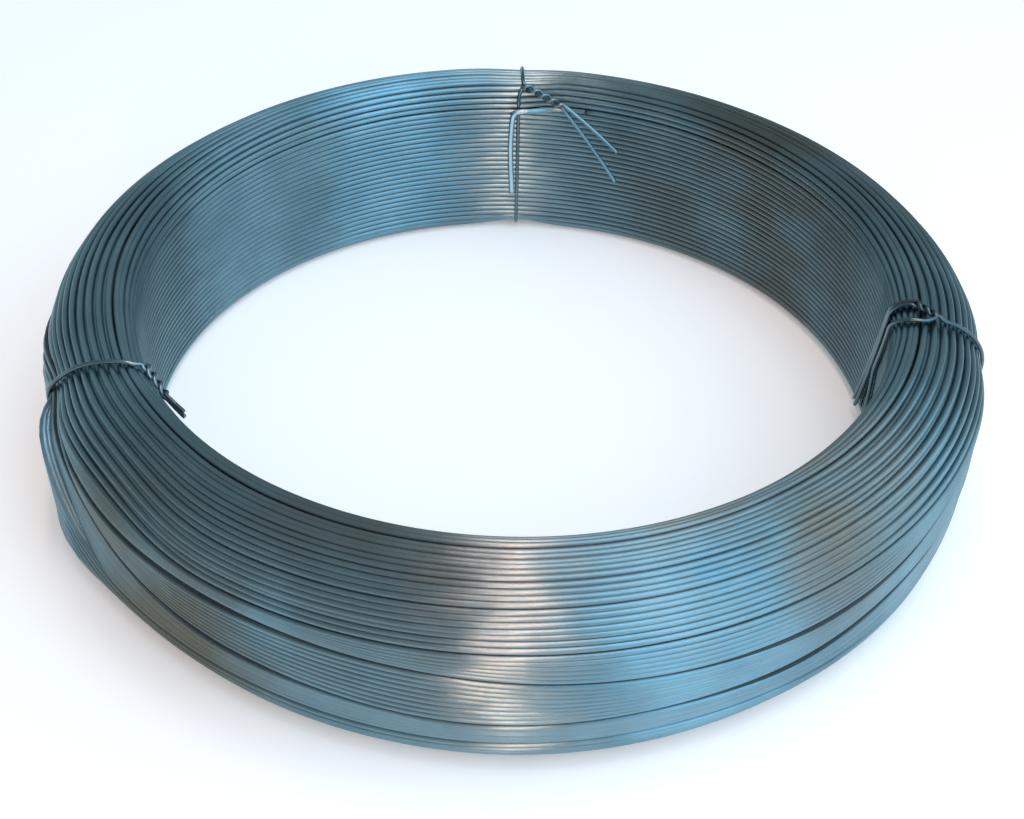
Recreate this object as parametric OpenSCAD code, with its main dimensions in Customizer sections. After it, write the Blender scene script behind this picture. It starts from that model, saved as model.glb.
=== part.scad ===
// Galvanized wire coil: one length of round wire wound into a ring, tied in three places.
// The ring lies flat on z = 0 with its axis on Z. Every size is in millimetres.

/* [Wire] */
// Diameter of the coiled wire
wire_d = 3; // [2:0.1:4]
// Space between neighbouring turns
turn_gap = 0.06; // [0:0.01:0.3]
// Depth of the groove between neighbouring turns
groove_depth = 0.75; // [0.4:0.05:1]

/* [Coil] */
// Bore diameter, over the crests of the innermost turns
bore_d = 356; // [300:1:420]
// Thickness of the ring, from the bore out
coil_wall = 47; // [40:0.5:60]
// Height of the ring
coil_h = 95; // [70:0.5:120]
// Rounding of the ring's section at the top of the bore
bore_top_round = 10; // [6:0.5:14]
// Rounding of the ring's section at the top of the outside
outer_top_round = 36; // [18:0.5:44]
// Rounding of the ring's section at the bottom of the outside
outer_base_round = 18; // [10:0.5:26]
// Rounding of the ring's section at the bottom of the bore
bore_base_round = 8; // [5:0.5:14]
// How much the lowest turns are flattened where they bear on the floor
base_flat = 0.12; // [0.05:0.01:0.3]

/* [Wire end] */
// Length of the wire's inner end that hangs down the bore
end_drop = 54; // [20:1:60]

/* [Ties] */
// Diameter of the tie wire
tie_d = 2; // [1.4:0.1:2.6]
// Clearance between a tie and the turns under it
tie_gap = 0.35; // [0.2:0.05:0.8]
// Angle of the tie at the back
back_tie_angle = 90; // [80:0.5:100]
// Angle of the tie on the left
left_tie_angle = 200; // [190:0.5:210]
// Angle of the tie on the right
right_tie_angle = 357; // [345:0.5:365]
// Length of one full turn of a twisted pair
twist_pitch = 9; // [8:0.5:14]

/* [Hidden] */

bore_r = bore_d / 2;
outer_r = bore_r + coil_wall;
turn_pitch = wire_d + turn_gap;

// The ring's section: four rounded corners, each [centre r, centre z, rounding, start angle].
// They run anticlockwise in the r-z half plane, from the foot of the bore to its top.
top_round = min(outer_top_round, coil_wall - bore_top_round);
CORNERS = [
    [bore_r + bore_base_round, bore_base_round, bore_base_round, 180],
    [outer_r - outer_base_round, outer_base_round, outer_base_round, 270],
    [outer_r - top_round, coil_h - top_round, top_round, 0],
    [bore_r + bore_top_round, coil_h - bore_top_round, bore_top_round, 90],
];
CORNER_STEPS = 18;

// Points of the section, each [r, z, normal r, normal z], on the crests of the turns.
SECTION = [
    for (c = CORNERS)
        for (i = [0:CORNER_STEPS])
            let (a = c[3] + 90 * i / CORNER_STEPS)
                [c[0] + c[2] * cos(a), c[1] + c[2] * sin(a), cos(a), sin(a)]
];

// The middle of the wire under a point of the section.
function wire_middle(p) = [p[0] - wire_d / 2 * p[2], p[1] - wire_d / 2 * p[3]];
function section_step(i) =
    norm(wire_middle(SECTION[(i + 1) % len(SECTION)]) - wire_middle(SECTION[i % len(SECTION)]));

// Distance along the section, through the middles of the wires, at each of its points.
// The first point comes again at the end.
ALONG = [
    for (i = 0, s = 0; i <= len(SECTION); s = s + section_step(i), i = i + 1) s
];
SECTION_LENGTH = ALONG[len(SECTION)];

// One column of SECTION as a table over the distance along it.
function section_table(column) = [
    for (i = [0:len(SECTION)]) [ALONG[i], SECTION[i % len(SECTION)][column]]
];
TABLES = [for (column = [0:3]) section_table(column)];

function wrapped(s) = s - SECTION_LENGTH * floor(s / SECTION_LENGTH);

// The point [r, z] that lies off millimetres outside the crests, s millimetres along the section.
function on_section(s, off) =
    let (w = wrapped(s), v = [for (t = TABLES) lookup(w, t)], n = norm([v[2], v[3]]))
        [v[0] + off * v[2] / n, v[1] + off * v[3] / n];

// A point beside the ring: s millimetres along the section from the top of the bore's rounding,
// t millimetres round the ring from an angle, and off millimetres outside the crests.
TOP_OF_BORE = ALONG[3 * (CORNER_STEPS + 1)];
// On that scale, where the straight walls of the bore and of the outside start and end.
bore_wall_top = ALONG[3 * (CORNER_STEPS + 1) + CORNER_STEPS] - TOP_OF_BORE;
bore_wall_foot = SECTION_LENGTH - TOP_OF_BORE;
outer_wall_top = ALONG[2 * (CORNER_STEPS + 1)] - TOP_OF_BORE;
outer_wall_foot = ALONG[CORNER_STEPS + 1 + CORNER_STEPS] - TOP_OF_BORE;
function beside(angle, p) =
    let (q = on_section(TOP_OF_BORE + p[0], p[2]), a = angle + p[1] / bore_r * 180 / PI)
        [q[0] * cos(a), q[0] * sin(a), q[1]];

// Round wire along a route

WIRE_SIDES = 8;

function unit(v) = v / norm(v);
function tangent(path, i) =
    unit(path[min(i + 1, len(path) - 1)] - path[max(i - 1, 0)]);
function square_to(v, t) = unit(v - (v * t) * t);

// One pass of corner cutting, which keeps both ends where they are.
function rounded(path) = concat(
    [path[0]],
    [for (i = [0:len(path) - 2], f = [0.25, 0.75]) path[i] * (1 - f) + path[i + 1] * f],
    [path[len(path) - 1]]
);

// A tube of round wire along a path of points in space.
module wire(path, d) {
    last = len(path) - 1;
    first_side = square_to([0.3, 0.5, 1], tangent(path, 0));
    sides = [
        for (i = 0, n = first_side; i <= last;
            i = i + 1, n = i <= last ? square_to(n, tangent(path, i)) : n) n
    ];
    rings = [
        for (i = [0:last])
            let (t = tangent(path, i), u = sides[i], v = cross(t, u))
                for (k = [0:WIRE_SIDES - 1])
                    let (a = 360 * k / WIRE_SIDES)
                        path[i] + d / 2 * (cos(a) * u + sin(a) * v)
    ];
    walls = [
        for (i = [0:last - 1], k = [0:WIRE_SIDES - 1])
            let (a = i * WIRE_SIDES + k, b = i * WIRE_SIDES + (k + 1) % WIRE_SIDES)
                each [[a, a + WIRE_SIDES, b], [b, a + WIRE_SIDES, b + WIRE_SIDES]]
    ];
    caps = [
        [for (k = [0:WIRE_SIDES - 1]) k],
        [for (k = [WIRE_SIDES - 1:-1:0]) last * WIRE_SIDES + k]
    ];
    polyhedron(points = rings, faces = concat(walls, caps), convexity = 10);
}

// The ties

TWIST_STEPS = 10;
LOOP_STEP = 5;
TAIL_STEP = 8;
strand_gap = 0.3;
floor_gap = 0.15;
strand_out = (tie_d + strand_gap) / 2;
loop_off = tie_gap + tie_d / 2;
twist_off = tie_gap + strand_out + tie_d / 2;

// Height over which a tie sinks among the turns, so that the ring rests on them and not on it.
sink_h = min(outer_base_round, bore_base_round) + 4;
function sink(z) = max(0, 1 - z / sink_h);

// How far outside the crests the middle of a tie lies at a place along the section.
function tie_off(s) =
    loop_off - (loop_off + tie_d / 2 + floor_gap) * sink(on_section(TOP_OF_BORE + s, 0)[1]);

// Places on each tie, as [s, t]: where its twist starts and ends, and [s, t, off] midway between
// the ends of its tails. Then how far apart the tails end, as [s, t], and how far the loop is
// pulled round the ring, as t: at the shoulder of the outside, halfway down the bore, at the lip.
BACK_TIE = [[6, -2], [14, -25], [44, -60, 9], [-19, 0], [0, 0, 0]];
LEFT_TIE = [[8, 17], [13, 36], [16, 47, 5], [-3, 0], [-12, 14, 15]];
RIGHT_TIE = [[-9, -20], [1, -13], [bore_wall_foot - 1, 20, 2], [-2, 3], [-10, 0, -24]];

// Where a loop that comes over the top turns down into the bore.
lip_s = 4;
knot_reach = 3 * strand_out;

// How far round the ring the loop of a tie lies at a place along the section. It is pulled to the
// knot at the top, and under the ring it keeps to its seat.
function drift(s, place) = lookup(s, [
    [max(lip_s, place[0][0] + knot_reach) - SECTION_LENGTH, place[4][2]],
    [(bore_wall_top + bore_wall_foot) / 2 - SECTION_LENGTH, place[4][1]],
    [-TOP_OF_BORE - sink_h, 0],
    [outer_wall_foot, 0],
    [outer_wall_top, place[4][0]],
    [place[0][0] - knot_reach, place[0][1]]
]);

// Points from one place to another, without the first.
function run_to(p, q) =
    let (steps = ceil(norm(q - p) / TAIL_STEP))
        [for (i = [1:steps]) p + (q - p) * i / steps];

// One strand of a twist and its tail. Side -1 is the strand from over the top of the ring, and
// side 1 the one from the bore.
function strand(knot, twist_end, tail, splay, side) =
    let (
        run = twist_end - knot,
        turns = round(2 * norm(run) / twist_pitch) / 2,
        across = unit([-abs(run[1]), sign(run[1]) * run[0]]),
        steps = ceil(turns * TWIST_STEPS),
        twist = [
            for (i = [0:steps])
                let (
                    a = 360 * turns * i / steps,
                    p = knot + run * i / steps - side * strand_out * cos(a) * across
                ) [p[0], p[1], twist_off + side * strand_out * sin(a)]
        ],
        apart = -side * cos(360 * turns) / 2 * splay
    ) concat(twist, run_to(twist[steps], tail + [apart[0], apart[1], 0]));

function backwards(path) = [for (i = [len(path) - 1:-1:0]) path[i]];

// A tie is one wire. It comes from one tail through the twist, goes once round the ring's
// section, and comes back through the twist to the other tail.
function tie_route(place) =
    let (
        a = strand(place[0], place[1], place[2], place[3], -1),
        b = strand(place[0], place[1], place[2], place[3], 1),
        from_s = place[0][0] - knot_reach,
        to_s = place[0][0] + knot_reach - SECTION_LENGTH,
        steps = ceil((from_s - to_s) / LOOP_STEP),
        loop = [
            for (i = [0:steps])
                let (s = from_s + (to_s - from_s) * i / steps) [s, drift(s, place), tie_off(s)]
        ],
        b_after_loop = [for (p = b) p - [SECTION_LENGTH, 0, 0]]
    ) concat(backwards(a), loop, b_after_loop);

module tie(angle, place)
    color("lightsteelblue")
        wire([for (p = rounded(tie_route(place))) beside(angle, p)], tie_d);

module tie_back() tie(back_tie_angle, BACK_TIE);
module tie_left() tie(left_tie_angle, LEFT_TIE);
module tie_right() tie(right_tie_angle, RIGHT_TIE);

// The coil

turn_count = floor(SECTION_LENGTH / turn_pitch);
TURN_SIDES = 12;

// The ring's section, with every turn that shows on its outline.
module coil_section() {
    step = SECTION_LENGTH / turn_count;
    intersection() {
        translate([0, -base_flat]) union() {
            polygon([for (i = [0:turn_count - 1]) on_section(i * step, -groove_depth)]);
            for (i = [0:turn_count - 1])
                translate(on_section(i * step, -wire_d / 2))
                    circle(d = wire_d, $fn = TURN_SIDES);
        }
        square([2 * outer_r, 2 * coil_h]);
    }
}

// The wire's inner end leaves the bore wall, crosses over the back tie and hangs down the bore.
module wire_end() {
    level = bore_wall_top + 5;
    drop = min(end_drop, bore_wall_foot - level);
    over_tie = 2 * tie_gap + tie_d + wire_d / 2;
    hang = tie_gap + wire_d / 2;
    past_tie = (tie_d + wire_d) / 2 + tie_gap;
    bow = wire_d / 2;
    route = [
        [level, -20, -wire_d],
        [level, -13, -wire_d / 2],
        [level, -5, over_tie],
        [level, 0, over_tie],
        [level, past_tie, over_tie],
        [level + 8, past_tie, hang],
        [level + drop / 2, past_tie + bow, hang],
        [level + drop, past_tie, hang]
    ];
    wire([for (p = rounded(rounded(route))) beside(back_tie_angle, p)], wire_d);
}

// Room under the ring for a tie, as wide and as deep as the tie and its clearance.
module tie_seat(angle) {
    low = [
        for (s = [0:1:SECTION_LENGTH])
            if (sink(on_section(TOP_OF_BORE + s, 0)[1]) > 0) s
    ];
    inside = [for (s = low) on_section(TOP_OF_BORE + s, tie_off(s) - loop_off)];
    rotate(angle)
        rotate([90, 0, 0])
            linear_extrude(tie_d + 2 * tie_gap, center = true)
                polygon(concat(inside, [[outer_r + coil_wall, coil_h / 4], [outer_r, -coil_h],
                    [bore_r, -coil_h], [bore_r - coil_wall, coil_h / 4]]));
}

module coil()
    color("slategray")
        union() {
            difference() {
                rotate_extrude($fn = 360) coil_section();
                for (angle = [back_tie_angle, left_tie_angle, right_tie_angle]) tie_seat(angle);
            }
            wire_end();
        }

coil();
tie_back();
tie_left();
tie_right();
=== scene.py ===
# %% [markdown]
# # A coil of galvanized wire
#
# The real thing is one long steel wire with a zinc skin. A machine winds it into a ring and
# three short wires tie the ring together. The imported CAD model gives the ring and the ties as
# plain solids. Here they get their looks: every turn that shows becomes a wire of its own.

# %% Load the frame and keep its box
import math

import bmesh
import bpy
import numpy as np
from mathutils import Matrix, Vector


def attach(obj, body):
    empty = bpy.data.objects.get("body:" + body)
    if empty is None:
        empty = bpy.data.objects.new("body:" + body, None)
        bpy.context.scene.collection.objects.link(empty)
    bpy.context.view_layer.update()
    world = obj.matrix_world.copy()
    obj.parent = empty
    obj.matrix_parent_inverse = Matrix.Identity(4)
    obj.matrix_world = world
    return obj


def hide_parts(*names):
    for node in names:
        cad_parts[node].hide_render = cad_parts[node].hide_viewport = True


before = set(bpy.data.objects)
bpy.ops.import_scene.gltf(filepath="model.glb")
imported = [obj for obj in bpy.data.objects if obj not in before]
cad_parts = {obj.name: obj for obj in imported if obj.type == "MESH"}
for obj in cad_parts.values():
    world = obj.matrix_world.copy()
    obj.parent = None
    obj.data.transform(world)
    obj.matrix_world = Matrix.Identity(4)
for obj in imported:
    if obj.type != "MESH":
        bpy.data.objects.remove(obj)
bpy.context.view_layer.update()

# %% [markdown]
# ## The section of the ring
#
# Cut the ring across and you see a tall rounded rectangle, fuller at the bottom of the outside.
# Four rounded corners describe it. Everything later asks this outline one question: where is the
# point s metres along it, and off metres outside the crests of the turns? So the outline is
# measured once, along the middles of the wires, and kept as a table.

# %% The outline as a table
MM = 0.001
WIRE_R = 1.5 * MM
BORE_R = 178 * MM
COIL_WALL = 47 * MM
COIL_H = 95 * MM
BORE_TOP_ROUND = 10 * MM
OUTER_TOP_ROUND = 36 * MM
OUTER_BASE_ROUND = 18 * MM
BORE_BASE_ROUND = 8 * MM
CORNER_STEPS = 18

outer_r = BORE_R + COIL_WALL
corners = [
    (BORE_R + BORE_BASE_ROUND, BORE_BASE_ROUND, BORE_BASE_ROUND, 180),
    (outer_r - OUTER_BASE_ROUND, OUTER_BASE_ROUND, OUTER_BASE_ROUND, 270),
    (outer_r - OUTER_TOP_ROUND, COIL_H - OUTER_TOP_ROUND, OUTER_TOP_ROUND, 0),
    (BORE_R + BORE_TOP_ROUND, COIL_H - BORE_TOP_ROUND, BORE_TOP_ROUND, 90),
]
outline = []
for centre_r, centre_z, rounding, start in corners:
    for a in np.radians(np.linspace(start, start + 90, CORNER_STEPS + 1)):
        out_r, out_z = math.cos(a), math.sin(a)
        outline.append((centre_r + rounding * out_r, centre_z + rounding * out_z, out_r, out_z))
outline = np.array(outline + outline[:1])
middles = outline[:, :2] - WIRE_R * outline[:, 2:]
along = np.append(0, np.cumsum(np.linalg.norm(np.diff(middles, axis=0), axis=1)))
SECTION_LENGTH = along[-1]
OUTER_WALL_FOOT = along[2 * CORNER_STEPS + 1]
OUTER_WALL_TOP = along[2 * CORNER_STEPS + 2]
TOP_OF_BORE = along[3 * CORNER_STEPS + 3]
BORE_WALL_TOP = along[4 * CORNER_STEPS + 3]


def on_section(s, off):
    """r and z of the points off metres outside the crests, s metres along the section."""
    columns = [np.interp(np.mod(s, SECTION_LENGTH), along, outline[:, k]) for k in range(4)]
    length = np.hypot(columns[2], columns[3])
    return columns[0] + off * columns[2] / length, columns[1] + off * columns[3] / length


def smooth(x):
    """0 below 0, 1 above 1, and a soft step between them."""
    x = np.clip(x, 0, 1)
    return x * x * (3 - 2 * x)


def angle_from(theta, place):
    """Signed angle in degrees from a place round the ring."""
    return (np.degrees(theta) - place + 180) % 360 - 180


print("section", round(SECTION_LENGTH / MM, 1), "mm round")

# %% [markdown]
# ## Where the ties run and how they squeeze the ring
#
# Each tie goes once round the section and is twisted to itself. Pulling the twist tight drags its
# loop a little way round the ring, so the loop drifts from one angle to another as it goes. The
# turns sink where the loop crosses them, and under the ring they ride up over it, because the ring
# lies on the floor and the tie has to pass. One table holds the ties, and the same functions move
# the turns and the ties, so they always meet.

# %% Ties and their places
# Places are in millimetres: along the section from the top of the bore, then round the ring. A tail
# also says how far it stands off, and spread is the way from one tail's end to the other's. Pull is
# the drift at the shoulder, halfway up the bore and at its lip. Press says how deep the turns sink,
# and over how many degrees.
TIES = {
    "back_tie": dict(
        angle=90, knot=(6, -2), twist_end=(14, -25), tail=(44, -60, 9), spread=(-19, 0),
        pull=(0, 0, 0), press_top=1.0, press_side=1.0, press_angle=5,
    ),
    "left_tie": dict(
        angle=200, knot=(8, 17), twist_end=(13, 36), tail=(16, 47, 5), spread=(-3, 0),
        pull=(-12, 14, 15), press_top=2.0, press_side=4.5, press_angle=6,
    ),
    "right_tie": dict(
        angle=357, knot=(-9, -20), twist_end=(1, -13), tail=(89, 20, 2), spread=(-2, 3),
        pull=(-10, 0, -24), press_top=1.3, press_side=1.6, press_angle=5,
    ),
}
TIE_R = 1.0 * MM
TIE_GAP = 0.05 * MM
STRAND_GAP = 0.08 * MM
STRAND_OUT = TIE_R + STRAND_GAP
KNOT_REACH = 3.45 * MM
LIP = 4 * MM
BASE_PRESS = 2.5 * MM
BASE_BAND = 12 * MM
SEAT_ANGLE = 2.5
# How far from the top of the bore and from the floor the press changes, and how long that takes.
LIP_FADE = 10 * MM
SIDE_START, SIDE_FADE = 12 * MM, 25 * MM
FOOT_START, FOOT_FADE = 10 * MM, 20 * MM


def drift(s, tie):
    """How far round the ring a loop lies, at s from its knot down the outside and up the bore."""
    knot_s, knot_t = np.array(tie["knot"]) * MM
    shoulder, halfway, lip = np.array(tie["pull"]) * MM
    bore_middle = (BORE_WALL_TOP + SECTION_LENGTH) / 2 - TOP_OF_BORE
    places = [
        (max(LIP, knot_s + KNOT_REACH) - SECTION_LENGTH, lip),
        (bore_middle - SECTION_LENGTH, halfway),
        (-TOP_OF_BORE - BASE_BAND, 0),
        (OUTER_WALL_FOOT - TOP_OF_BORE, 0),
        (OUTER_WALL_TOP - TOP_OF_BORE, shoulder),
        (knot_s - KNOT_REACH, knot_t),
    ]
    return np.interp(s, *np.transpose(places))


def press_depth(s, tie):
    """How far the turns sink under a tie, at a place along the whole section."""
    s = np.mod(s, SECTION_LENGTH)
    height = on_section(s, 0)[1]
    past_lip = smooth((s - TOP_OF_BORE - LIP) / LIP_FADE)
    below_top = smooth((TOP_OF_BORE - SIDE_START - s) / SIDE_FADE)
    on_side = below_top * smooth((height - FOOT_START) / FOOT_FADE)
    depth = tie["press_top"] + (tie["press_side"] - tie["press_top"]) * on_side
    return np.maximum(depth * MM * (1 - past_lip), BASE_PRESS * smooth(1 - height / BASE_BAND))


def from_loop(s, theta, tie):
    """Angle from a tie's loop, at a place along the section and an angle round the ring."""
    from_top = np.mod(s, SECTION_LENGTH) - TOP_OF_BORE
    loop_s = np.where(from_top > tie["knot"][0] * MM, from_top - SECTION_LENGTH, from_top)
    return angle_from(theta, tie["angle"] + np.degrees(drift(loop_s, tie) / BORE_R))


def pressed(s, theta, off):
    """off, at most level with the crests under a tie, and sunk by as much as the ties press."""
    for tie in TIES.values():
        away = from_loop(s, theta, tie)
        off = np.where(off > 0, off * (1 - np.exp(-((away / SEAT_ANGLE) ** 2))), off)
        off = off - press_depth(s, tie) * np.exp(-((away / tie["press_angle"]) ** 2))
    return off


for name, tie in TIES.items():
    print(name, "at", tie["angle"], "degrees, knot", tie["knot"])

# %% [markdown]
# ## Bands of turns
#
# The winding machine lays the wire in bands. Inside a band the turns touch, and between two bands
# is a dark furrow. Low on the outside the bands have slipped, and the ties squeezed some of them in
# and pushed others out. So the edge between two bands is a line that wanders along the section on
# its way round the ring, and each band leans in or out. A few points give each line, and the turns
# of a band share out the space between its two edges. Where that is narrow they crowd together and
# the band looks smooth.

# %% Edges and leans of the low bands
FRONT = 270
# Each point: angle from the front, then millimetres along the section.
EDGES = [
    [(0, 31)],
    [(-100, 58), (-86, 88), (-76, 108), (-68, 108), (-64, 98), (-60, 78), (-54, 60),
     (0, 57), (20, 59), (100, 58)],
    [(-100, 76), (-76, 111), (-66, 111), (-61, 105), (-57, 99), (-53, 91), (-48, 85), (-43, 81),
     (-35, 77), (-22, 74.5), (-8, 70), (0, 68.5), (20, 72), (33, 72), (48, 78), (58, 78),
     (100, 76)],
    [(-100, 95), (-76, 113), (-66, 112), (-57, 107), (-49, 103), (-22, 100), (-8, 97), (0, 94),
     (20, 90.5), (35, 90), (47, 92.5), (61, 102), (70, 102), (100, 95)],
    [(-100, 109), (-76, 116), (-48, 116), (-38, 109), (0, 108.5), (100, 109)],
]
LOW_TURNS = (25, 14, 9, 6)
# Each point: angle from the front, then millimetres outwards.
FOOT_LEAN = [
    (-100, 0), (-80, 0), (-74, 3), (-68, 5.5), (-62, 6), (-57, 2), (-50, -2), (-35, -3), (-24, -2),
    (0, -0.8), (12, -1.2), (30, -2.8), (55, -2.8), (63, -4), (70, -2.4), (90, 0),
]
BELLY_LEAN = [
    (-66, 0), (-54, -1), (-43, -2), (-35, -2.6), (-24, -2),
    (0, -0.8), (12, -1), (30, -1.6), (55, -1.8), (63, -2.8), (70, -2), (90, 0),
]
WAIST_LEAN = [(-90, 0), (-66, -1), (-45, -1), (-20, 0), (24, 0), (45, -0.6), (62, -1.2), (90, 0)]
SHOULDER_LEAN = [(-110, 0), (-88, -1.5), (-79, -2.5), (-72, -1.5), (-62, 0)]
LEANS = [FOOT_LEAN, BELLY_LEAN, WAIST_LEAN, SHOULDER_LEAN, SHOULDER_LEAN]
SOFT_CORNER = np.linspace(-6, 6, 13)
STEPS = 216
stations = np.arange(STEPS) * 2 * math.pi / STEPS


def along_line(line):
    """The second numbers of a line's points, in metres, at every station, with soft corners."""
    angles, places = np.transpose(line)
    turned = [angle_from(stations, FRONT + shift) for shift in SOFT_CORNER]
    return np.mean([np.interp(angle, angles, places) for angle in turned], axis=0) * MM


edges = [along_line(line) for line in EDGES]
leans = [along_line(line) for line in LEANS]
for edge in edges:
    print("an edge between bands", round(edge.min() / MM), "to", round(edge.max() / MM), "mm along")

# %% [markdown]
# ## Furrows and spare turns
#
# The top turn of a band is followed by a few that lie ever deeper, down to the floor of the furrow.
# These are painted dark, a painted shade that draws the furrow even where it is seen at a slant.
# Over the lowest band they keep the coil's own tone, because that one stands out far enough to keep
# its edge.
#
# The lowest band swells below the left tie, where the squeeze pushed turns out from underneath. So
# that band has turns to spare: two of three lie hidden under the third, and come up where the band
# is wide.

# %% Places of the turns in the low bands and in their furrows
# The width of the furrow at each edge in millimetres. It is narrower at the front, and wider where
# the band above hangs over.
FURROWS = (0.0, 0.8, 2.4, 2.4, 1.6)
FRONT_SHARE = 0.4
FRONT_SINK = 1.5 * MM
OVERHANG = 2.0
FURROW_SINK = (0.8, 0.3, 0.3, 1.2)
FURROW_DEPTH = 2.8 * MM
FURROW_TURNS = 5
# Angles from the front between which a furrow widens, and narrows again towards the back.
WIDENING, WIDE, NARROWING, NARROW = 12, 37, 90, 130
FOOT_FIRM, FOOT_FREE = 28 * MM, 46 * MM
SPARE_OF = 3
SPARE_DEPTH = 2.5 * MM
SPARE_FROM, SPARE_OVER = 30 * MM, 25 * MM
LOW_SWELL = 0.15 * MM
rng = np.random.default_rng(11)


def swell(low, high):
    """A slow wave round the ring, from low to high, with its own phase."""
    lobes = rng.integers(1, 4)
    phase = rng.uniform(0, 2 * math.pi)
    return low + (high - low) * (0.5 + 0.5 * np.cos(lobes * stations + phase))


from_front = abs(angle_from(stations, FRONT))
past_front = smooth((from_front - WIDENING) / (WIDE - WIDENING))
before_back = smooth((NARROW - from_front) / (NARROW - NARROWING))
wide = FRONT_SHARE + (1 - FRONT_SHARE) * past_front * before_back
spread = smooth((edges[1] - edges[0] - SPARE_FROM) / SPARE_OVER)
low_s, low_off, furrow_s, furrow_off = [], [], [], []
for band, count in enumerate(LOW_TURNS):
    over = OVERHANG * np.maximum(leans[band + 1] - leans[band], 0) * wide
    first = edges[band] + FURROWS[band] * MM / 2 * wide + WIRE_R
    last = np.maximum(edges[band + 1] - FURROWS[band + 1] * MM / 2 * wide - over - WIRE_R, first)
    for k, share in enumerate(np.linspace(0, 1, count)):
        s = first + (last - first) * share
        free = smooth((s - FOOT_FIRM) / (FOOT_FREE - FOOT_FIRM))
        spare = band == 0 and k % SPARE_OF > 0
        wave = SPARE_DEPTH * (spread - 1) if spare else swell(-LOW_SWELL, 0)
        low_s.append(s)
        low_off.append(leans[band] * free + wave)
    edge_s, edge_off = last + WIRE_R, leans[band] - FURROW_SINK[band] * MM - FRONT_SINK * (1 - wide)
    floor_s, floor_off = edges[band + 1], np.minimum(leans[band], leans[band + 1]) - FURROW_DEPTH
    for share in np.linspace(0, 1, FURROW_TURNS):
        # Turns over the lowest band keep the coil's own tone; the rest get the painted shade of the
        # furrows.
        own_tone = band == 0 and share < 1
        (low_s if own_tone else furrow_s).append(edge_s + (floor_s - edge_s) * share)
        (low_off if own_tone else furrow_off).append(edge_off + (floor_off - edge_off) * share)
print(len(low_s), "turns in the low bands,", len(furrow_s), "in their furrows")

# %% [markdown]
# ## The top
#
# At the front the turns of the top lie tight, some of them half on their neighbours. At the sides
# and the back every second one of the outer turns has dropped between its neighbours. Each space
# between two turns is a width that changes with the angle, less than nothing where they overlap,
# and what the wires leave free at an angle is shared out among the spaces.
#
# The innermost turn, the lip, lies on the top turn of the bore. That one belongs to a helix, so it
# sinks by a pitch on its way round, and the lip follows it. Where the helix ends its wire comes
# away from the wall, and there the lip climbs back.

# %% Places of the turns on the top
# Spaces between the turns at the front, in millimetres, from the shoulder to the lip.
TOP_SPACES = [
    -0.6, -0.2, -1.4, -0.5, -0.6, -0.5, -0.1, -1.0, -0.5, -0.3, -0.2,
    -0.3, -0.6, -1.0, -0.4, -0.6, 0.6, -0.8, 0.1, 0.1, 0.1, 0.1,
]
LOOSE_TURNS = 17
DROPPED_SPACE = -0.7
DROPPED_DEPTH = 1.9 * MM
BORE_PITCH = 3.04 * MM
HELIX_TOP_S = BORE_WALL_TOP + 4.5 * MM
HELIX_END = 78.0
LIP_GAP = 0.5 * MM
# The lip climbs back in the last tenth of its turn, from a few degrees past the helix's end.
LAST_OF_TURN, CLIMB_START, CLIMB_OVER = 0.9, 4, 10
# Degrees from the front where the tight turns end, and that they take to drop.
TIGHT_END, TIGHT_FADE = 25, 35
TIED_ANGLE = 9
TOP_SWELL = 0.4 * MM
# How far from the lip the turns begin to share the lean of the shoulder.
SHOULDER_START, SHOULDER_FADE = 40 * MM, 25 * MM

TURNS = len(TOP_SPACES) + 1
dropped = (np.arange(TURNS) < LOOSE_TURNS) & (np.arange(TURNS) % 2 == 1)
sunk_share = np.mod(HELIX_END - np.degrees(stations), 360) / 360
climb = smooth((angle_from(stations, HELIX_END) - CLIMB_START) / CLIMB_OVER)
free_wall = np.where(sunk_share > LAST_OF_TURN, climb, 1)
last_s = HELIX_TOP_S - WIRE_R - LIP_GAP + BORE_PITCH * sunk_share * free_wall
aside = smooth((from_front - TIGHT_END) / TIGHT_FADE)

widths = []
for k, space in enumerate(TOP_SPACES):
    width = space * swell(0.5, 1.5)
    if dropped[k] or dropped[k + 1]:
        width = width * (1 - aside) + DROPPED_SPACE * aside
    widths.append(width * MM)
free = last_s - edges[-1] - TURNS * 2 * WIRE_R
widths = np.array(widths)
widths = widths + (free - widths.sum(axis=0)) / len(widths)
top_s = edges[-1] + WIRE_R + np.vstack([np.zeros(STEPS), np.cumsum(widths + 2 * WIRE_R, axis=0)])
from_ties = [angle_from(stations, tie["angle"]) for tie in TIES.values()]
tied = sum(np.exp(-((away / TIED_ANGLE) ** 2)) for away in from_ties)
top_off = np.array([swell(-TOP_SWELL, 0) for _ in range(TURNS)]) * (1 - tied)
top_off = top_off - DROPPED_DEPTH * dropped[:, None] * aside
shoulder = smooth((HELIX_TOP_S - SHOULDER_START - top_s) / SHOULDER_FADE)
top_off = top_off + leans[-1] * shoulder
print(TURNS, "turns on the top, short of room by", round(-free.min() / MM, 1), "mm at most")

# %% [markdown]
# ## A turn of wire
#
# A turn is a circle swept once round the axis, which is just what spin does. The circle starts
# in the plane of the section, at the turn's first place. Afterwards each ring of vertices is
# moved to where the turn lies at that angle. A spin adds its rings in order, so the number of a
# vertex tells which ring it is in. A curve with a round bevel would make a wire too, but its rings
# could not be moved one by one. A closed turn is merged at its seam. A turn of a helix is left
# open, and its last ring is the first of the next turn.

# %% Spin one turn and move it into place
WIRE_SIDES = 10


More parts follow.
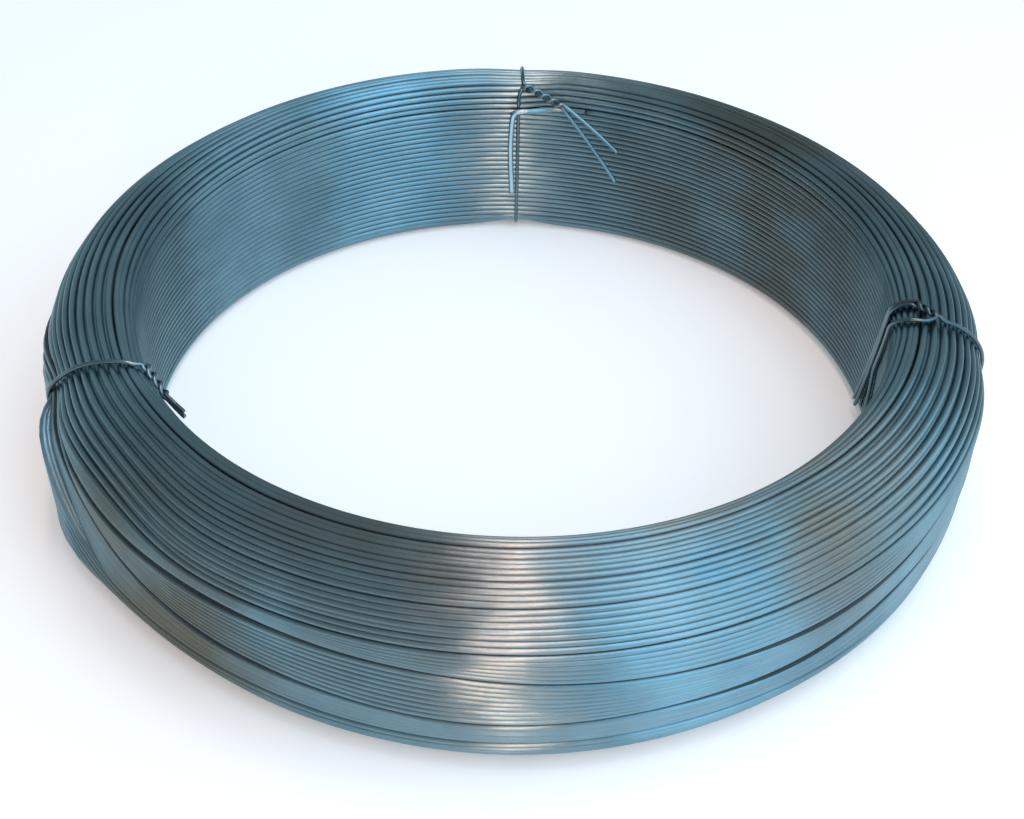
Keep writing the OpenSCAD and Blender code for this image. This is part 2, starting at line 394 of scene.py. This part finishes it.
def turn_of_wire(r, z, sides, closed=True):
    """One turn whose middle runs through r and z, which give a value for each station."""
    steps = len(r) if closed else len(r) - 1
    bm = bmesh.new()
    upright = Matrix.Translation((r[0], 0, z[0])) @ Matrix.Rotation(math.pi / 2, 4, "X")
    bmesh.ops.create_circle(bm, segments=sides, radius=WIRE_R, matrix=upright)
    bmesh.ops.spin(
        bm, geom=bm.verts[:] + bm.edges[:], axis=(0, 0, 1), cent=(0, 0, 0),
        angle=2 * math.pi, steps=steps, use_merge=closed,
    )
    for n, v in enumerate(bm.verts):
        k = n // sides
        theta = 2 * math.pi * k / steps
        v.co += Vector((math.cos(theta), math.sin(theta), 0)) * (r[k] - r[0])
        v.co.z += z[k] - z[0]
    return bm


def add_to(whole, part):
    """Puts a finished bmesh into a larger one."""
    carrier = bpy.data.meshes.new("carrier")
    part.to_mesh(carrier)
    part.free()
    whole.from_mesh(carrier)
    bpy.data.meshes.remove(carrier)


def piece(name, bm):
    """Makes a bmesh a piece of the object, with smooth faces that point outwards."""
    bmesh.ops.recalc_face_normals(bm, faces=bm.faces[:])
    mesh = bpy.data.meshes.new(name)
    bm.to_mesh(mesh)
    bm.free()
    mesh.shade_smooth()
    obj = bpy.data.objects.new(name, mesh)
    bpy.context.scene.collection.objects.link(obj)
    print(name, len(mesh.polygons), "faces")
    return obj


def turns_piece(name, places, offs):
    """A piece of closed turns, from their places along the section and off the crests.

    No turn goes below the floor.
    """
    bm = bmesh.new()
    for s, off in zip(places, offs):
        r, z = on_section(s, pressed(s, stations, off) - WIRE_R)
        add_to(bm, turn_of_wire(r, np.maximum(z, WIRE_R), WIRE_SIDES))
    return piece(name, bm)


FOOT = LOW_TURNS[0] + FURROW_TURNS - 1
foot_turns = turns_piece("foot_turns", low_s[:FOOT], low_off[:FOOT])
outer_turns = turns_piece("outer_turns", low_s[FOOT:], low_off[FOOT:])
top_turns = turns_piece("top_turns", top_s, top_off)

# %% [markdown]
# ## What shows in the furrows
#
# Between two turns one sees the next layer of wire, in shadow, and that shadow is painted: the
# layer gets a very dark zinc. On the top it lies most of a wire's thickness deeper. Below the
# shoulder it lies deeper still, behind the bands that lean inwards. It follows the same dips. The
# dark turns of the furrows go into the same piece, because they carry the same painted shade.
# Little of them shows, so they have fewer sides, and the layer has fewer steps.

# %% The layer below and the dark turns
UNDER_DEPTH = 2.5 * MM
UNDER_DEEPEST = 7 * MM
UNDER_FADE = 6 * MM
UNDER_FIRST_S = 45 * MM
UNDER_PITCH = 2.05 * WIRE_R
UNDER_STEPS = 120
UNDER_SIDES = 6
under_stations = np.arange(UNDER_STEPS) * 2 * math.pi / UNDER_STEPS
low_s_end = edges[-1].min()

bm = bmesh.new()
for s in np.arange(UNDER_FIRST_S, HELIX_TOP_S, UNDER_PITCH):
    level = np.full(UNDER_STEPS, s)
    depth = UNDER_DEPTH + (UNDER_DEEPEST - UNDER_DEPTH) * smooth((low_s_end - s) / UNDER_FADE)
    r, z = on_section(level, pressed(level, under_stations, -depth) - WIRE_R)
    add_to(bm, turn_of_wire(r, z, UNDER_SIDES))
for s, off in zip(furrow_s, furrow_off):
    r, z = on_section(s, pressed(s, stations, off) - WIRE_R)
    add_to(bm, turn_of_wire(r, z, UNDER_SIDES))
under_turns = piece("under_turns", bm)

# %% [markdown]
# ## The base and the bore
#
# The machine's first layer lies on a drum, so the bore is the neatest part of the ring: a single
# helix. Closed rings would look the same from afar, but at the top the wire has to come away from
# the wall. So it starts under the ring, spirals across the base to the bore and climbs its wall,
# all at one pitch along the outline. Each turn is spun by itself, from the angle where the helix
# ends, and the turns are welded end to end.

# %% A helix over the base and up the bore
BASE_FIRST_S = 29.5 * MM
WELD = 0.02 * MM
HELIX_TURNS = int((SECTION_LENGTH + BASE_FIRST_S - HELIX_TOP_S) / BORE_PITCH)
helix_s = HELIX_TOP_S + BORE_PITCH / STEPS * np.arange(HELIX_TURNS * STEPS, -1, -1)
helix_theta = math.radians(HELIX_END) + np.arange(len(helix_s)) * 2 * math.pi / STEPS

bm = bmesh.new()
for k in range(HELIX_TURNS):
    part = slice(k * STEPS, (k + 1) * STEPS + 1)
    r, z = on_section(helix_s[part], pressed(helix_s[part], helix_theta[part], 0) - WIRE_R)
    add_to(bm, turn_of_wire(r, z, WIRE_SIDES, closed=False))
bmesh.ops.rotate(
    bm, matrix=Matrix.Rotation(math.radians(HELIX_END), 3, "Z"), cent=(0, 0, 0), verts=bm.verts[:]
)
bmesh.ops.remove_doubles(bm, verts=bm.verts[:], dist=WELD)
bmesh.ops.holes_fill(bm, edges=[e for e in bm.edges if e.is_boundary], sides=WIRE_SIDES)
bore_turns = piece("bore_turns", bm)
print(HELIX_TURNS, "turns of the helix")

# %% [markdown]
# ## Wire along any route
#
# The ties and the loose end of the wire follow routes in space. A circle is drawn at the start of
# the route and extruded from point to point. Each step turns the new ring by just as much as the
# route turns, so the wire never twists or pinches.

# %% Extrude a wire along a route


def wire_along(points, radius, sides):
    """A closed round wire through the points."""
    points = [Vector(p) for p in points]
    heads = [(q - p).normalized() for p, q in zip(points, points[1:])]
    heads = [heads[0]] + [(a + b).normalized() for a, b in zip(heads, heads[1:])] + [heads[-1]]
    bm = bmesh.new()
    aim = Matrix.Translation(points[0]) @ heads[0].to_track_quat("Z", "Y").to_matrix().to_4x4()
    bmesh.ops.create_circle(bm, cap_ends=True, segments=sides, radius=radius, matrix=aim)
    ring = bm.edges[:]
    for k in range(1, len(points)):
        grown = bmesh.ops.extrude_edge_only(bm, edges=ring)["geom"]
        ring = [g for g in grown if isinstance(g, bmesh.types.BMEdge)]
        turn = heads[k - 1].rotation_difference(heads[k]).to_matrix().to_4x4()
        move = Matrix.Translation(points[k]) @ turn @ Matrix.Translation(-points[k - 1])
        bmesh.ops.transform(
            bm, matrix=move, verts=[g for g in grown if isinstance(g, bmesh.types.BMVert)]
        )
    bmesh.ops.contextual_create(bm, geom=ring)
    return bm


def rounded(route, times):
    """Cuts the corners of a route, several times over."""
    route = np.asarray(route, float)
    for _ in range(times):
        quarter = 0.75 * route[:-1] + 0.25 * route[1:]
        threequarter = 0.25 * route[:-1] + 0.75 * route[1:]
        between_points = np.stack([quarter, threequarter], axis=1).reshape(-1, route.shape[1])
        route = np.vstack([route[:1], between_points, route[-1:]])
    return route


def beside(angle, route):
    """Points in space for a route of s from the top of the bore, t round the ring, and off."""
    s, t, off = np.asarray(route).T
    r, z = on_section(TOP_OF_BORE + s, off)
    theta = math.radians(angle) + t / BORE_R
    return np.stack([r * np.cos(theta), r * np.sin(theta), z], axis=1)


# %% [markdown]
# ## The end of the wire
#
# At the top of the bore the helix comes away from the wall, crosses over the back tie and hangs
# down the bore, where someone bent it out of the way. Where it hangs it is painted lighter, a
# painted reflection, so it is a piece of its own and gets a finish of its own.

# %% Bend the wire's end over the back tie
LEVEL = HELIX_TOP_S - TOP_OF_BORE
END_DROP = 54 * MM
END_START = math.radians(HELIX_END - TIES["back_tie"]["angle"]) * BORE_R
OVER_TIE = 3.9 * MM
HANG = 1.7 * MM
PAST_TIE = 2.8 * MM
END_BOW = 1.5 * MM
end_route = np.array([
    (LEVEL, END_START, -WIRE_R),
    (LEVEL, END_START + 9 * MM, -WIRE_R),
    (LEVEL, -16 * MM, 0),
    (LEVEL, -7 * MM, OVER_TIE),
    (LEVEL, -1 * MM, OVER_TIE),
    (LEVEL + 1 * MM, PAST_TIE, OVER_TIE),
    (LEVEL + 9 * MM, PAST_TIE + 0.6 * END_BOW, HANG + 0.8 * MM),
    (LEVEL + END_DROP / 2, PAST_TIE + END_BOW, HANG),
    (LEVEL + END_DROP, PAST_TIE, HANG),
])
end_points = beside(TIES["back_tie"]["angle"], rounded(end_route, 3))
wire_end = piece("wire_end", wire_along(end_points, WIRE_R, WIRE_SIDES))

# %% [markdown]
# ## The ties
#
# Each tie is a single thin wire. It starts at one tail, runs through the twist, goes once round
# the section, and comes back through the twist to its other tail. Loop, twist and tails made one
# by one would leave seams, so one route carries the whole wire. The two strands of a twist keep on
# opposite sides of its line, like a rope of two yarns.

# %% Route a tie
TWIST_PITCH = 9 * MM
TWIST_STEPS = 14
TAIL_STEPS = 16
LOOP_STEP = 2.5 * MM


def loop_off(s, tie):
    """How far outside the crests the middle of a tie lies."""
    return TIE_R + TIE_GAP - press_depth(TOP_OF_BORE + s, tie)


def strand(tie, side):
    """One strand of a twist, and its tail."""
    knot, twist_end = np.array(tie["knot"]) * MM, np.array(tie["twist_end"]) * MM
    run = twist_end - knot
    turns = round(2 * np.linalg.norm(run) / TWIST_PITCH) / 2
    across = np.array([-abs(run[1]), math.copysign(1, run[1]) * run[0]])
    across = across / np.linalg.norm(across)
    share = np.linspace(0, 1, math.ceil(turns * TWIST_STEPS) + 1)
    angle = 2 * math.pi * turns * share
    place = knot + run * share[:, None] - side * STRAND_OUT * np.cos(angle)[:, None] * across
    lift = loop_off(place[:, 0], tie) + STRAND_OUT * (1 + side * np.sin(angle))
    twist = np.column_stack([place, lift])
    apart = -side * math.cos(2 * math.pi * turns) / 2 * np.array(tie["spread"])
    end = (np.array(tie["tail"]) + np.append(apart, 0)) * MM
    share = np.linspace(0, 1, TAIL_STEPS)[1:, None]
    return np.vstack([twist, twist[-1] + (end - twist[-1]) * share])


def tie_piece(name):
    """A tie as one wire from tail to tail."""
    tie = TIES[name]
    over, under = strand(tie, -1), strand(tie, 1)
    knot_s = tie["knot"][0] * MM
    s = np.arange(knot_s - KNOT_REACH, knot_s + KNOT_REACH - SECTION_LENGTH, -LOOP_STEP)
    loop = np.column_stack([s, drift(s, tie), loop_off(s, tie)])
    route = np.vstack([over[::-1], loop, under - np.array([SECTION_LENGTH, 0, 0])])
    return piece(name, wire_along(beside(tie["angle"], rounded(route, 1)), TIE_R, WIRE_SIDES))


tie_pieces = {name: tie_piece(name) for name in TIES}

# %% [markdown]
# ## Zinc
#
# Hot-dip zinc is a bluish grey metal, bright where it was rubbed and dull where a thin oxide has
# grown. The oxide lies in clouds, and close up the skin is a little grainy. So the tone comes from
# a coarse noise, and the gloss and a very low bump from a fine one. Every finish of the coil is
# such a zinc in two tones of its own.

# %% A zinc in clouds between two tones
CLOUD_LOW, CLOUD_HIGH = 0.35, 0.68
GLOSS_RANGE = 0.06
GRAIN_DEPTH = 0.2 * MM


def new_node(tree, kind, **values):
    """A node of a kind, with some of its sockets set."""
    node = tree.nodes.new(kind)
    for socket, value in values.items():
        node.inputs[socket.replace("_", " ")].default_value = value
    return node


def ramp(tree, source, low, high, first, second):
    """A ramp from one colour to another, between two values of a source."""
    node = tree.nodes.new("ShaderNodeValToRGB")
    node.color_ramp.elements[0].position = low
    node.color_ramp.elements[0].color = (*first, 1)
    node.color_ramp.elements[1].position = high
    node.color_ramp.elements[1].color = (*second, 1)
    tree.links.new(source, node.inputs["Fac"])
    return node.outputs["Color"]


def zinc(name, dark, light, rough, relief):
    """A galvanized finish in clouds between two tones."""
    material = bpy.data.materials.new(name)
    material.use_nodes = True
    tree = material.node_tree
    shader = tree.nodes["Principled BSDF"]
    shader.inputs["Metallic"].default_value = 1.0
    place = tree.nodes.new("ShaderNodeTexCoord").outputs["Object"]
    cloud = new_node(tree, "ShaderNodeTexNoise", Scale=26.0, Detail=4.0)
    grain = new_node(tree, "ShaderNodeTexNoise", Scale=420.0, Detail=3.0)
    gloss = new_node(
        tree, "ShaderNodeMapRange", To_Min=rough - GLOSS_RANGE, To_Max=rough + GLOSS_RANGE
    )
    bump = new_node(tree, "ShaderNodeBump", Strength=relief, Distance=GRAIN_DEPTH)
    tree.links.new(place, cloud.inputs["Vector"])
    tree.links.new(place, grain.inputs["Vector"])
    tone = ramp(tree, cloud.outputs["Fac"], CLOUD_LOW, CLOUD_HIGH, dark, light)
    tree.links.new(tone, shader.inputs["Base Color"])
    tree.links.new(grain.outputs["Fac"], gloss.inputs["Value"])
    tree.links.new(gloss.outputs["Result"], shader.inputs["Roughness"])
    tree.links.new(grain.outputs["Fac"], bump.inputs["Height"])
    tree.links.new(bump.outputs["Normal"], shader.inputs["Normal"])
    return material


coil_zinc = zinc("coil_zinc", (0.17, 0.285, 0.34), (0.22, 0.36, 0.42), 0.36, 0.06)
# Painted reflection: a lighter zinc for the hanging end of the wire.
painted_reflection_zinc = zinc("painted_reflection_zinc", (0.32, 0.52, 0.62), (0.48, 0.68, 0.78), 0.34, 0.0)
# Painted shade: a very dark zinc for the layer below and the furrow turns, standing in for their
# shadow.
painted_shade_zinc = zinc("painted_shade_zinc", (0.04, 0.06, 0.067), (0.065, 0.097, 0.11), 0.6, 0.0)
# Painted light and painted shade on the ties: the tie wire is darker, standing in for its shade,
# and the back tie's tails are lighter, standing in for the light they catch.
painted_light_tail_zinc = zinc("painted_light_tail_zinc", (0.13, 0.25, 0.32), (0.19, 0.34, 0.42), 0.36, 0.0)
painted_shade_tie_zinc = zinc("painted_shade_tie_zinc", (0.07, 0.11, 0.13), (0.17, 0.25, 0.285), 0.30, 0.0)
print("finishes:", coil_zinc.name, painted_reflection_zinc.name, painted_shade_zinc.name, painted_light_tail_zinc.name, painted_shade_tie_zinc.name)

# %% [markdown]
# ## Drawn lines
#
# The drawing die leaves fine lines along the wire. They spread a reflection across the wire and
# keep it narrow along it, which is why a lamp shows as one streak over all the turns. So the turns
# get an anisotropic finish, whose tangent points round the ring: the upright axis crossed with the
# place. No turn lies quite true, so slow waves in a second bump let the streak wander a little.

# %% Lines and waves along the wire
QUARTER_TURN = 0.25
# Waves to a metre, along the three axes.
WAVES = (25, 25, 110)


def draw(material, amount, waviness):
    """Gives a finish the lines that a die leaves along a coiled wire, and slow waves along it."""
    tree = material.node_tree
    shader = tree.nodes["Principled BSDF"]
    place = tree.nodes["Texture Coordinate"].outputs["Object"]
    around = tree.nodes.new("ShaderNodeVectorMath")
    around.operation = "CROSS_PRODUCT"
    around.inputs[0].default_value = (0, 0, 1)
    tree.links.new(place, around.inputs[1])
    tree.links.new(around.outputs["Vector"], shader.inputs["Tangent"])
    shader.inputs["Anisotropic"].default_value = amount
    shader.inputs["Anisotropic Rotation"].default_value = QUARTER_TURN
    stretch = tree.nodes.new("ShaderNodeVectorMath")
    stretch.operation = "MULTIPLY"
    stretch.inputs[1].default_value = WAVES
    wave = new_node(tree, "ShaderNodeTexNoise", Scale=1.0, Detail=1.0)
    bend = new_node(tree, "ShaderNodeBump", Distance=waviness)
    tree.links.new(place, stretch.inputs[0])
    tree.links.new(stretch.outputs["Vector"], wave.inputs["Vector"])
    tree.links.new(wave.outputs["Fac"], bend.inputs["Height"])
    tree.links.new(bend.outputs["Normal"], tree.nodes["Bump"].inputs["Normal"])


draw(coil_zinc, 0.94, 1.2 * MM)
print("waves to a metre:", WAVES)

# %% [markdown]
# ## Stains
#
# An old coil has dull and brownish patches where damp stood on it. Each stain has a place in space,
# fades out with the distance from it and is broken up by a noise, so its rim is loose. Painting
# them on would take a map for each piece. A place in space works for all the turns at once.

# %% Stains round a few places
STAINS = [
    # place in metres, how far it reaches, tone
    ((-0.165, -0.185, 0.03), 0.10, (0.135, 0.14, 0.11)),
    ((0.10, -0.15, 0.12), 0.10, (0.30, 0.26, 0.215)),
    ((0.13, 0.11, 0.05), 0.13, (0.16, 0.175, 0.165)),
    ((-0.06, -0.20, 0.13), 0.12, (0.19, 0.225, 0.23)),
]
# The share of its reach within which a stain is at its fullest.
CORE = 0.4
PATCH_LOW, PATCH_HIGH = 0.25, 0.55
CLEAR, COVERED = (0, 0, 0), (0.95, 0.95, 0.95)


def stain(material):
    """Tints a finish in loose patches round the stained places."""
    tree = material.node_tree
    shader = tree.nodes["Principled BSDF"]
    place = tree.nodes["Texture Coordinate"].outputs["Object"]
    own_tone = shader.inputs["Base Color"].links[0].from_socket
    patch = new_node(tree, "ShaderNodeTexNoise", Scale=16.0, Detail=3.0)
    tree.links.new(place, patch.inputs["Vector"])
    cover = ramp(tree, patch.outputs["Fac"], PATCH_LOW, PATCH_HIGH, CLEAR, COVERED)
    for spot, reach, tone in STAINS:
        distance = tree.nodes.new("ShaderNodeVectorMath")
        distance.operation = "DISTANCE"
        distance.inputs[1].default_value = spot
        tree.links.new(place, distance.inputs[0])
        fade = new_node(tree, "ShaderNodeMapRange", From_Min=reach, From_Max=CORE * reach)
        tree.links.new(distance.outputs["Value"], fade.inputs["Value"])
        loose = tree.nodes.new("ShaderNodeMath")
        loose.operation = "MULTIPLY"
        tree.links.new(fade.outputs["Result"], loose.inputs[0])
        tree.links.new(cover, loose.inputs[1])
        tint = tree.nodes.new("ShaderNodeMix")
        tint.data_type = "RGBA"
        tint.inputs["B"].default_value = (*tone, 1)
        tree.links.new(loose.outputs["Value"], tint.inputs["Factor"])
        tree.links.new(own_tone, tint.inputs["A"])
        own_tone = tint.outputs["Result"]
    tree.links.new(own_tone, shader.inputs["Base Color"])


stain(coil_zinc)
print(len(STAINS), "stains on", coil_zinc.name)

# %% [markdown]
# ## Dressing the pieces
#
# Every piece rides on the one body and stands in for its CAD node. Two pieces have a second finish:
# the wire's end is painted lighter where it hangs, a painted reflection, and the tails of the back
# tie are painted lighter than the tie, a painted light. Both lie on one side of a plane across the
# ring, so each face is sorted by where it is.

# %% Dress every piece
PAINTED_REFLECTION_X = 3 * MM
TAIL_X = 27 * MM
coil_pieces = [foot_turns, outer_turns, top_turns, under_turns, bore_turns, wire_end]
for obj in coil_pieces:
    # The layer below and the furrow turns get the painted shade.
    obj.data.materials.append(painted_shade_zinc if obj is under_turns else coil_zinc)
    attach(obj, "root")
    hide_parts("coil")
# The hanging end, on the near side of the plane, gets the painted reflection.
wire_end.data.materials.append(painted_reflection_zinc)
for face in wire_end.data.polygons:
    face.material_index = int(face.center.x < PAINTED_REFLECTION_X)
for name, node in (("back_tie", "tie_back"), ("left_tie", "tie_left"), ("right_tie", "tie_right")):
    obj = tie_pieces[name]
    obj.data.materials.append(painted_shade_tie_zinc)
    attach(obj, "root")
    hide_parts(node)
back_tie = tie_pieces["back_tie"]
# The tails of the back tie, beyond the plane, get the painted light.
back_tie.data.materials.append(painted_light_tail_zinc)
for face in back_tie.data.polygons:
    face.material_index = int(face.center.x > TAIL_X)
print(len(coil_pieces) + len(tie_pieces), "pieces dressed")

# %% [markdown]
# ## Floor, light and camera
#
# The ring lies on a plain pale floor that glows faintly, like a light table, which keeps the shadow
# soft. Narrow warm lights in an arc over the camera draw the bright streak down the front and up
# the bore. A broad cool window on the right fills the wires beside it. The lens and the place of
# the camera are those that make the ring and its bore the ovals one sees in the picture.

# %% The floor
FLOOR_SIZE = 12
FLOOR_GLOW = 0.22
bpy.ops.mesh.primitive_plane_add(size=FLOOR_SIZE)
floor = bpy.context.object
floor.name = "floor"
pale = bpy.data.materials.new("pale_floor")
pale.use_nodes = True
pale_shader = pale.node_tree.nodes["Principled BSDF"]
pale_shader.inputs["Base Color"].default_value = (0.86, 0.90, 0.91, 1)
pale_shader.inputs["Roughness"].default_value = 0.9
pale_shader.inputs["Emission Color"].default_value = (1, 1, 1, 1)
pale_shader.inputs["Emission Strength"].default_value = FLOOR_GLOW
floor.data.materials.append(pale)
print("floor", floor.dimensions[:])

# %% The lights
STREAK_ELEVATIONS = (8, 30, 52, 74, 96)
STREAK_AZIMUTHS = (-2, 10)
STREAK_WATTS = 4.0
STREAK = dict(distance=1.8, width=0.09, height=0.6, colour=(1.0, 0.52, 0.35))
FILL_ELEVATIONS = (15, 45, 75)
FILL = dict(distance=2.4, width=1.5, height=1.1)
WINDOW = dict(azimuth=45, watts=12, colour=(0.42, 0.74, 1.0))
SIDE = dict(azimuth=100, watts=7, colour=(0.62, 0.85, 1.0))
WORLD_STRENGTH = 0.43
world = bpy.data.worlds.new("studio")
world.use_nodes = True
world.node_tree.nodes["Background"].inputs["Color"].default_value = (0.78, 0.92, 0.97, 1)
world.node_tree.nodes["Background"].inputs["Strength"].default_value = WORLD_STRENGTH
bpy.context.scene.world = world


def soft_light(name, azimuth, elevation, distance, width, height, watts, colour):
    """An area light that looks at the ring. Azimuth 0 is over the camera, 90 on the right."""
    lamp = bpy.data.lights.new(name, "AREA")
    lamp.shape = "RECTANGLE"
    lamp.size, lamp.size_y = width, height
    lamp.energy = watts
    lamp.color = colour
    obj = bpy.data.objects.new(name, lamp)
    a, e = math.radians(azimuth), math.radians(elevation)
    way = Vector((math.sin(a) * math.cos(e), -math.cos(a) * math.cos(e), math.sin(e)))
    obj.location = way * distance + Vector((0, 0, COIL_H / 2))
    obj.rotation_euler = (-way).to_track_quat("-Z", "Y").to_euler()
    bpy.context.scene.collection.objects.link(obj)
    return obj


for elevation in STREAK_ELEVATIONS:
    azimuth = np.interp(elevation, (0, 90), STREAK_AZIMUTHS)
    watts = STREAK_WATTS - elevation / 90
    soft_light("streak_light", azimuth=azimuth, elevation=elevation, watts=watts, **STREAK)
for elevation in FILL_ELEVATIONS:
    soft_light("window_light", elevation=elevation, **WINDOW, **FILL)
    soft_light("side_light", elevation=elevation, **SIDE, **FILL)
bpy.context.scene.view_settings.view_transform = "Standard"
print(len(bpy.data.lights), "lights")

# %% The camera
LENS = 57.84
ROLL = math.radians(1.338)
eye = Vector((0, -645.14, 539.55)) * MM
target = Vector((0.21, 0, 7.08)) * MM
camera = bpy.data.objects.new("camera", bpy.data.cameras.new("camera"))
camera.data.sensor_width = 36
camera.data.lens = LENS
camera.location = eye
level_view = (target - eye).to_track_quat("-Z", "Y").to_matrix()
camera.rotation_euler = (level_view @ Matrix.Rotation(ROLL, 3, "Z")).to_euler()
bpy.context.scene.collection.objects.link(camera)
bpy.context.scene.camera = camera
print("camera at", eye[:])
